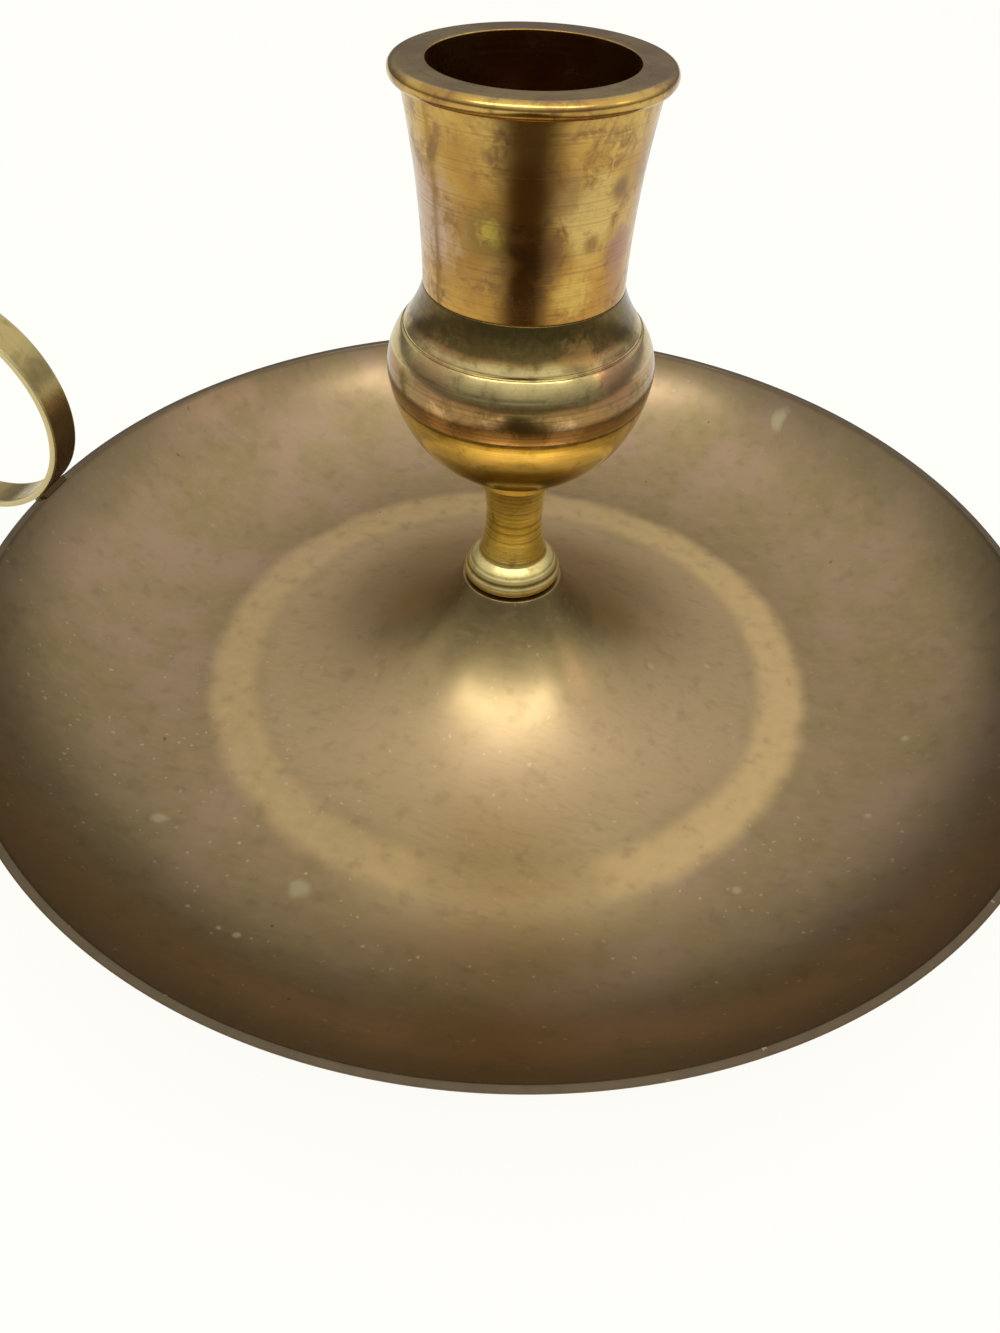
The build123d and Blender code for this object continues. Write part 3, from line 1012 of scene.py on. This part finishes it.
def turned(
    name: str,
    outline: Outline,
    rows: int,
    columns: int,
    relief: Optional[Relief] = None,
    axis: Axis = Axis.UPRIGHT,
    centre: tuple[float, float, float] = (0.0, 0.0, 0.0),
) -> bpy.types.Object:
    """Turns an outline about an axis: each point goes round a circle of its radius.

    Args:
        name: Name of the piece.
        outline: Outline of radius and height, or of radius and width for the crosswise axis.
        rows: Points along the outline.
        columns: Points round the axis.
        relief: Gives the moved radius and height for each outline point and angle, in millimetres.
        axis: The axis to turn about.
        centre: A point of the axis, in millimetres.

    Returns:
        The new object.
    """
    points = outline.paced(rows)
    angle = np.linspace(0, 2 * math.pi, columns, endpoint=False)
    radius = points[:, :1] + np.zeros(columns)
    height = points[:, 1:] + np.zeros(columns)
    if relief is not None:
        radius, height = relief(np.stack([radius, height]), angle)
    if axis is Axis.UPRIGHT:
        grid = np.stack([radius * np.cos(angle), radius * np.sin(angle), height], axis=-1)
    else:
        grid = np.stack([radius * np.sin(angle), height, radius * np.cos(angle)], axis=-1)
    return piece_from_grid(name, (grid + np.array(centre)) * MM)


def settle(piece: bpy.types.Object, node: str, finish: Brass) -> bpy.types.Object:
    """Dresses a piece, lets it stand for its CAD node and rides it on the object's one body.

    Args:
        piece: The new piece.
        node: Name of the CAD node that it stands for.
        finish: Its finish.

    Returns:
        The same piece.
    """
    finish.dress(piece)
    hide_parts(node)
    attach(piece, ROOT)
    LOG.info("%s: %d faces in %s", piece.name, len(piece.data.polygons), finish.value.name)
    return piece


def node_span(node: str) -> tuple[Array, Array]:
    """Lowest and highest corner of a CAD node in millimetres."""
    low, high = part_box(node)
    return np.array(low) / MM, np.array(high) / MM


@dataclass
class Dish:
    """The spun pan with its hollow boss, flat ring, wall and lip."""

    sheet: float = 0.9
    rim_height: float = 17.6
    ring_inner: float = 39.0
    ring_outer: float = 47.0
    land_radius: float = 7.2
    hole_radius: float = 2.15
    edge: float = 0.2
    waviness: float = 0.06
    rows: int = 300
    columns: int = 300
    rim_radius: float = field(init=False)
    land_height: float = field(init=False)

    # Share, turns round the axis, turning per millimetre of radius and phase of each slow wave
    WAVES = ((0.5, 3, 0.21, 0.0), (0.3, 7, -0.33, 1.3), (0.2, 11, 0.45, 2.1))

    # Widths in millimetres without waves at the ring, lip and foot, and over which the waves grow
    CALM_RING, CALM_LIP, CALM_FOOT = 2.0, 0.5, 9.0
    WALL_RISE, LIP_RISE, BOSS_RISE = 14.0, 8.0, 12.0

    def __post_init__(self) -> None:
        """Takes the reach and the height from the frame."""
        _, high = node_span("dish")
        self.rim_radius, self.land_height = float(high[0]), float(high[2])

    def outline(self) -> Outline:
        """Upper face from the hole outwards, then the under face back, as level arcs up boss and wall."""
        sheet, under = self.sheet, self.land_height - self.sheet
        boss = climb((self.ring_inner, sheet), (self.land_radius, self.land_height))
        skirt = climb((self.ring_outer, 0.0), (self.rim_radius, self.rim_height))
        skirt_radius = level_radius(self.rim_radius - self.ring_outer, self.rim_height)
        wall_run = math.sqrt((skirt_radius - sheet) ** 2 - (skirt_radius - self.rim_height) ** 2)
        wall = climb((self.ring_outer, sheet), (self.ring_outer + wall_run, self.rim_height))
        hollow_radius = level_radius(self.ring_inner - self.land_radius, under) + sheet
        hollow_run = math.sqrt(hollow_radius**2 - (hollow_radius - under) ** 2)
        hollow = climb((self.ring_inner, 0.0), (self.ring_inner - hollow_run, under))
        return Outline.joined(
            straight((self.hole_radius, under), (self.hole_radius, self.land_height)),
            boss[::-1],
            wall,
            skirt[::-1],
            hollow,
        ).softened(self.edge)

    def uneven(self, profile: Array, angle: Array) -> Array:
        """Lifts both faces of the sheet by three slow waves of radius and angle, on boss and wall only."""
        radius, height = profile
        waves = sum(
            share * np.sin(turns * angle + pace * radius + phase) for share, turns, pace, phase in self.WAVES
        )
        wall = smooth_step((radius - self.ring_outer - self.CALM_RING) / self.WALL_RISE)
        wall = wall * smooth_step((self.rim_radius - self.CALM_LIP - radius) / self.LIP_RISE)
        boss = smooth_step((self.ring_inner - self.CALM_RING - radius) / self.BOSS_RISE)
        boss = boss * smooth_step((radius - self.CALM_FOOT) / self.BOSS_RISE)
        return np.stack([radius, height + self.waviness * waves * (wall + boss)])

    def build(self) -> bpy.types.Object:
        """Makes the dish."""
        piece = turned("dish_skin", self.outline(), self.rows, self.columns, self.uneven)
        return settle(piece, "dish", Brass.SHEET)


@dataclass
class Stem:
    """The turned stem with its double collar and waisted neck."""

    collar_radius: float = 6.9
    collar_height: float = 4.2
    collar_undercut: float = 0.6
    upper_radius: float = 6.6
    groove_depth: float = 0.15
    groove_width: float = 0.5
    crown_radius: float = 6.0
    neck_base: float = 4.9
    neck_waist: float = 3.95
    waist_rise: float = 5.4
    neck_top: float = 4.9
    spigot_radius: float = 3.4
    spigot_height: float = 1.6
    hole_radius: float = 2.15
    edge: float = 0.16
    rows: int = 260
    columns: int = 160

    def build(self) -> bpy.types.Object:
        """Makes the stem from its collar's bands, its neck's arc and the spigot."""
        low, high = node_span("stem")
        foot, top = float(low[2]), float(high[2]) - self.spigot_height
        middle, collar_top = foot + self.collar_height / 2, foot + self.collar_height
        below, above = middle - self.groove_width / 2, middle + self.groove_width / 2
        outer = self.upper_radius - self.groove_depth / 2
        outline = Outline.joined(
            straight((self.hole_radius, foot), (self.collar_radius - self.collar_undercut, foot)),
            arc_through(
                (self.collar_radius - self.collar_undercut, foot),
                (self.collar_radius, (foot + middle) / 2),
                (self.upper_radius, below),
            ),
            straight((self.upper_radius - self.groove_depth, middle), (outer, above)),
            bowed((outer, above), (self.neck_base, collar_top), self.crown_radius),
            arc_through(
                (self.neck_base, collar_top),
                (self.neck_waist, collar_top + self.waist_rise),
                (self.neck_top, top),
            ),
            straight(
                (self.spigot_radius, top), (self.spigot_radius, top + self.spigot_height),
                (self.hole_radius, top + self.spigot_height),
            ),
        ).softened(self.edge)
        return settle(turned("stem_skin", outline, self.rows, self.columns), "stem", Brass.STEM)


@dataclass
class Bulb:
    """The bulb's two turned halves, which meet at a seam."""

    shoulder_height: float = 9.7
    foot_radius: float = 5.8
    foot_height: float = 0.4
    wall: float = 1.6
    seam_drop: float = 2.8
    groove_rise: float = 4.5
    groove_radius: float = 14.75
    groove_depth: float = 0.3
    groove_width: float = 0.7
    shoulder_radius: float = 12.0
    spigot_radius: float = 3.45
    opening_radius: float = 8.65
    opening_depth: float = 3.0
    hollow_drop: float = 3.0
    lip_drop: float = 2.0
    lip_inner: float = 2.2
    lip_outer: float = 1.0
    edge: float = 0.14
    bowl_rows: int = 240
    shoulder_rows: int = 260
    columns: int = 220
    arc_points: int = 120
    radius: float = field(init=False)
    foot: float = field(init=False)
    top: float = field(init=False)

    def __post_init__(self) -> None:
        """Takes the width and the heights from the frame."""
        _, high = node_span("bulb_upper")
        self.radius, self.top = float(high[0]), float(high[2])
        self.foot = float(node_span("bulb_lower")[0][2])

    @property
    def widest(self) -> float:
        """Height of the bulb's widest circle."""
        return self.top - self.shoulder_height

    @property
    def bowl_depth(self) -> float:
        """Depth of the bowl's ellipse below the widest circle."""
        return self.widest - self.foot - self.foot_height

    def ellipse(self, reach: float, depth: float, start: float, end: float) -> Array:
        """Quarter of an ellipse below the widest circle, between two drops from it."""
        turn = np.linspace(math.asin(start / depth), math.asin(end / depth), self.arc_points)
        return np.stack([reach * np.cos(turn), self.widest - depth * np.sin(turn)], axis=1)

    def build_lower(self) -> bpy.types.Object:
        """Makes the bowl: an ellipse outside and a smaller one inside, on a small foot."""
        meets = self.bowl_depth * math.sqrt(1 - (self.foot_radius / self.radius) ** 2)
        inner = self.bowl_depth - self.wall
        floor = inner * math.sqrt(1 - (self.spigot_radius / (self.radius - self.wall)) ** 2)
        outline = Outline.joined(
            self.ellipse(self.radius, self.bowl_depth, self.seam_drop, meets),
            straight((self.foot_radius, self.foot), (self.spigot_radius, self.foot)),
            self.ellipse(self.radius - self.wall, inner, self.seam_drop, floor)[::-1],
        ).softened(self.edge)
        piece = turned("bowl_skin", outline, self.bowl_rows, self.columns)
        return settle(piece, "bulb_lower", Brass.BOWL)

    def build_upper(self) -> bpy.types.Object:
        """Makes the shoulder: one arc over the widest circle, a groove, and an arc in to the socket."""
        seam = self.widest - self.seam_drop
        groove = self.widest + self.groove_rise
        start = (self.radius * math.sqrt(1 - (self.seam_drop / self.bowl_depth) ** 2), seam)
        belly = arc_through(start, (self.radius, self.widest), (self.groove_radius, groove))
        leaving = belly[-1] - belly[-2]
        across = np.array([self.shoulder_radius, self.top]) - belly[-1]
        bulge = belly[-1] + across / 2 + self.sag(leaving, across)
        throat = arc_through(tuple(belly[-1]), tuple(bulge), (self.shoulder_radius, self.top))
        bottom = self.groove_radius - self.groove_depth
        cleft = straight((bottom, groove), (bottom, groove + self.groove_width / 2))
        inner, outer, lip_foot = start[0] - self.lip_inner, start[0] - self.lip_outer, seam - self.lip_drop
        outline = Outline.joined(
            belly,
            cleft,
            throat[throat[:, 1] > groove + self.groove_width],
            straight(
                (self.opening_radius, self.top), (self.opening_radius, self.top - self.opening_depth),
                (inner, groove - self.hollow_drop), (inner, lip_foot), (outer, lip_foot), (outer, seam),
            ),
        ).softened(self.edge)
        piece = turned("shoulder_skin", outline, self.shoulder_rows, self.columns)
        return settle(piece, "bulb_upper", Brass.SHOULDER)

    @staticmethod
    def sag(leaving: Array, across: Array) -> Array:
        """Offset of an arc's middle from its chord, for an arc that leaves in a given direction."""
        chord = np.hypot(*across)
        turn = np.arctan2(leaving[0] * across[1] - leaving[1] * across[0], leaving @ across)
        side = np.array([across[1], -across[0]]) / chord
        return side * (chord / 2) * math.tan(turn / 2)


@dataclass
class CandleSocket:
    """The flared tube that holds the candle, with its turned lip."""

    bore_radius: float = 11.2
    base_radius: float = 12.0
    waist_radius: float = 12.4
    waist_rise: float = 10.0
    mouth_radius: float = 14.0
    lip_thickness: float = 1.8
    floor: float = 3.2
    head_recess: float = 3.75
    head_depth: float = 2.65
    hole_radius: float = 2.15
    spigot_radius: float = 8.6
    spigot_depth: float = 2.4
    edge: float = 0.18
    rows: int = 280
    columns: int = 220

    def build(self) -> bpy.types.Object:
        """Makes the tube from a flared arc, a half-round lip, the bore and the floor."""
        low, high = node_span("candle_socket")
        lip_radius, top = float(high[0]), float(high[2])
        base = float(low[2]) + self.spigot_depth
        under, floor = top - self.lip_thickness, base + self.floor
        foot, recess = base - self.spigot_depth, floor - self.head_depth
        round_centre = lip_radius - self.lip_thickness / 2
        outline = Outline.joined(
            arc_through(
                (self.base_radius, base),
                (self.waist_radius, base + self.waist_rise),
                (self.mouth_radius, under),
            ),
            arc_through((round_centre, under), (lip_radius, (under + top) / 2), (round_centre, top)),
            straight(
                (self.bore_radius, top), (self.bore_radius, floor),
                (self.head_recess, floor), (self.head_recess, recess),
                (self.hole_radius, recess), (self.hole_radius, foot),
                (self.spigot_radius, foot), (self.spigot_radius, base),
            ),
        ).softened(self.edge)
        return settle(turned("socket_skin", outline, self.rows, self.columns), "candle_socket", Brass.SOCKET)


@dataclass
class FingerLoop:
    """The flat strip bent into a ring, and the braze that holds it to the rim."""

    thickness: float = 1.1
    contact_angle: float = 40.0
    squash: float = 0.22
    corner: float = 0.3
    rows: int = 120
    columns: int = 260

    def build(self) -> bpy.types.Object:
        """Makes the strip: a rounded rectangle carried round a slightly flattened circle."""
        low, high = node_span("finger_loop")
        reach = (high[0] - low[0]) / 2
        middle = (low + high) / 2
        half = (high[1] - low[1]) / 2
        inner = reach - self.thickness
        section = straight((inner, -half), (reach, -half), (reach, half), (inner, half))
        outline = Outline.joined(section).softened(self.corner)
        piece = turned(
            "loop_strip", outline, self.rows, self.columns, self.flattened, Axis.CROSSWISE, tuple(middle)
        )
        return settle(piece, "finger_loop", Brass.STRIP)

    def flattened(self, profile: Array, angle: Array) -> Array:
        """Draws the ring in by a cosine of twice the angle from the line through the contact."""
        radius, width = profile
        contact = math.radians(180 - self.contact_angle)
        return np.stack([radius - self.squash * (1 - np.cos(2 * (angle - contact))) / 2, width])

    def dress_braze(self) -> None:
        """Gives the CAD braze its finish."""
        Brass.BRAZE.dress(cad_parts["loop_braze"])


class Fasteners:
    """The tie bolt, washer and nut, which keep their CAD shapes."""

    NODES = ("tie_bolt", "washer", "nut")

    def dress(self) -> None:
        """Gives each its finish."""
        for node in self.NODES:
            Brass.FASTENER.dress(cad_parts[node])


@dataclass
class PhotoCamera:
    """The camera that took the photograph, in the object's frame."""

    place: tuple[float, float, float] = (28.67, -117.61, 116.88)
    heading: float = 14.285
    elevation: float = 44.15
    roll: float = 2.035
    focal_pixels: float = 1050.0
    image_height: float = 1333.0
    sensor: float = 36.0
    clip: tuple[float, float] = (0.005, 20.0)

    def build(self) -> bpy.types.Object:
        """Makes the camera: it looks along its heading, down by its elevation, then rolls about its view."""
        data = bpy.data.cameras.new("photo_camera")
        data.sensor_width = self.sensor
        data.lens = self.focal_pixels / self.image_height * self.sensor
        data.clip_start, data.clip_end = self.clip
        camera = placed("photo_camera", data)
        heading, elevation, roll = (math.radians(a) for a in (self.heading, self.elevation, self.roll))
        level = math.cos(elevation)
        forward = Vector((-math.sin(heading) * level, math.cos(heading) * level, -math.sin(elevation)))
        right = Vector((math.cos(heading), math.sin(heading), 0.0))
        up = right.cross(forward)
        side = math.cos(roll) * right + math.sin(roll) * up
        top = math.cos(roll) * up - math.sin(roll) * right
        turn = Matrix((side, top, -forward)).transposed().to_4x4()
        camera.matrix_world = Matrix.Translation(Vector(self.place) * MM) @ turn
        bpy.context.scene.camera = camera
        return camera


@dataclass(frozen=True)
class Lamp:
    """A soft rectangular lamp that points at the object."""

    name: str
    azimuth: float
    elevation: float
    distance: float
    width: float
    height: float
    radiance: float
    tint: Colour = (1.0, 1.0, 1.0)

    def build(self) -> None:
        """Makes the lamp: its power is its radiance times its area times pi."""
        data = bpy.data.lights.new(self.name, "AREA")
        data.shape = "RECTANGLE"
        data.size, data.size_y = self.width, self.height
        data.energy = self.radiance * self.width * self.height * math.pi
        data.color = self.tint
        lamp = placed(self.name, data)
        azimuth, elevation = math.radians(self.azimuth), math.radians(self.elevation)
        level = math.cos(elevation)
        away = Vector((math.cos(azimuth) * level, math.sin(azimuth) * level, math.sin(elevation)))
        lamp.location = away * self.distance
        lamp.rotation_euler = (-away).to_track_quat("-Z", "Y").to_euler()


@dataclass
class Studio:
    """A pale floor, a surround that is bright overhead and dark behind the camera, and soft lamps."""

    camera_azimuth: float = -76.3
    floor_radius: float = 3.0
    floor_drop: float = 0.0002
    floor_shade: Colour = (0.90, 0.895, 0.87)
    floor_white: Colour = (1.0, 0.995, 0.95)
    floor_glow: float = 0.94
    zenith: float = 1.25
    middle: float = 1.0
    horizon: float = 0.32
    shade_depth: float = 0.6
    dim_azimuth: float = 118.7
    dim_depth: float = 0.42
    tilt: float = 0.15
    # The card is a painted shadow on the floor under the camera, which only mirrors see
    card_width: float = 0.19
    card_near: float = 0.08
    card_far: float = 0.60
    card_tone: Colour = (0.07, 0.048, 0.032)
    card_height: float = 0.001
    card_soft: float = 0.25
    lamps: tuple[Lamp, ...] = (
        Lamp("key", -76.3, 64.0, 0.8, 0.98, 0.14, 5.5),
        Lamp("warm", 3.7, 37.0, 0.9, 0.14, 0.20, 1.8, (1.0, 0.72, 0.58)),
    )

    FLOOR_CORNERS = 96

    # Heights in the surround, as sines of the elevation, and cosines of the turn away from a side
    LOWER, UPPER = Layer(0.06, 0.54), Layer(0.72, 0.97)
    CAMERA_SIDE, CAMERA_LOW = Layer(-0.1, 0.9), Layer(0.78, 0.40)
    DIM_SIDE, DIM_LOW = Layer(0.5, 0.95), Layer(0.58, 0.30)
    LEAST_LEVEL = 0.01

    def build(self) -> None:
        """Makes the floor, the dark card that is a painted shadow under the camera, the surround and the
        lamps.
        """
        self.build_floor()
        self.build_card()
        self.build_world()
        for lamp in self.lamps:
            lamp.build()

    @property
    def towards_camera(self) -> Array:
        """Level direction from the object to the camera."""
        azimuth = math.radians(self.camera_azimuth)
        return np.array([math.cos(azimuth), math.sin(azimuth)])

    @staticmethod
    def flat_piece(name: str, edge: Array, height: float, paint: Paint) -> bpy.types.Object:
        """Makes one flat face of the stage.

        Args:
            name: Name of the face.
            edge: Its corners from above, in metres.
            height: Its height in metres.
            paint: Its material.

        Returns:
            The new object.
        """
        mesh = bpy.data.meshes.new(name)
        points = np.column_stack([edge, np.full(len(edge), height)])
        mesh.from_pydata(points.tolist(), [], [list(range(len(points)))])
        mesh.materials.append(paint.material)
        piece = placed(name, mesh)
        return piece

    def build_floor(self) -> None:
        """Makes the floor disc just under the object, with a white glow that only views and mirrors see."""
        angle = np.linspace(0, 2 * math.pi, self.FLOOR_CORNERS, endpoint=False)
        edge = self.floor_radius * np.stack([np.cos(angle), np.sin(angle)], axis=1)
        paint = Paint("floor_white")
        matt = paint.node("ShaderNodeBsdfDiffuse", sockets={"Color": (*self.floor_shade, 1.0)})
        glow = paint.node("ShaderNodeEmission", sockets={"Color": (*self.floor_white, 1.0), "Strength": 1.0})
        share = paint.seen() * self.floor_glow
        paint.close(paint.node("ShaderNodeMixShader", sockets={0: share, 1: matt, 2: glow}))
        self.flat_piece("floor", edge, -self.floor_drop, paint)

    def build_card(self) -> None:
        """Lays a dark card with soft sides on the floor under the camera, which only mirrors see: a painted
        shadow under the camera.
        """
        along = self.towards_camera
        side = np.array([-along[1], along[0]])
        aside = side * self.card_width / 2
        near, far = along * self.card_near, along * self.card_far
        paint = Paint("card_dark")
        half = self.card_width / 2 / MM
        across = (paint.x * float(side[0]) + paint.y * float(side[1])).size()
        matt = paint.node("ShaderNodeBsdfDiffuse", sockets={"Color": (*self.card_tone, 1.0)})
        clear = paint.node("ShaderNodeBsdfTransparent")
        share = across.ramp(half, half * self.card_soft)
        paint.close(paint.node("ShaderNodeMixShader", sockets={0: share, 1: clear, 2: matt}))
        edge = np.array([near - aside, near + aside, far + aside, far - aside])
        card = self.flat_piece("card", edge, self.card_height, paint)
        card.visible_camera = card.visible_diffuse = card.visible_shadow = False

    def build_world(self) -> None:
        """Makes the surround: brighter with height, dark low down on two sides, and tilted to one side."""
        world = bpy.data.worlds.new("surround")
        sky = Tree(world, "ShaderNodeOutputWorld")
        east, north, height = sky.parts(sky.node("ShaderNodeTexCoord", output="Generated"))
        level = length(east, north).most(self.LEAST_LEVEL)
        ahead, across = map(float, self.towards_camera)
        front = (east * ahead + north * across) / level
        shade = self.CAMERA_SIDE.of(front) * self.CAMERA_LOW.of(height) * self.shade_depth
        dim = math.radians(self.dim_azimuth)
        aside = (east * math.cos(dim) + north * math.sin(dim)) / level
        dimmed = self.DIM_SIDE.of(aside) * self.DIM_LOW.of(height) * self.dim_depth
        shade = shade.most(dimmed) + aside * self.tilt
        lower = self.horizon + (self.middle - self.horizon) * self.LOWER.of(height)
        light = (lower + (self.zenith - self.middle) * self.UPPER.of(height)) * (1 - shade)
        camera = sky.node("ShaderNodeLightPath", output="Is Camera Ray")
        strength = light * (1 - camera) + camera
        tone = sky.mix(camera, (1.0, 1.0, 1.0), self.floor_white)
        sky.close(sky.node("ShaderNodeBackground", sockets={"Color": tone, "Strength": strength}))
        bpy.context.scene.world = world


def main() -> None:
    """Builds the object's pieces, then the studio and the camera."""
    logging.basicConfig(level=logging.INFO, format="%(name)s: %(message)s")
    bpy.context.scene.view_settings.view_transform = "Standard"
    Dish().build()
    Stem().build()
    bulb = Bulb()
    bulb.build_lower()
    bulb.build_upper()
    CandleSocket().build()
    loop = FingerLoop()
    loop.build()
    loop.dress_braze()
    Fasteners().dress()
    Studio().build()
    PhotoCamera().build()


if __name__ == "__main__":
    main()
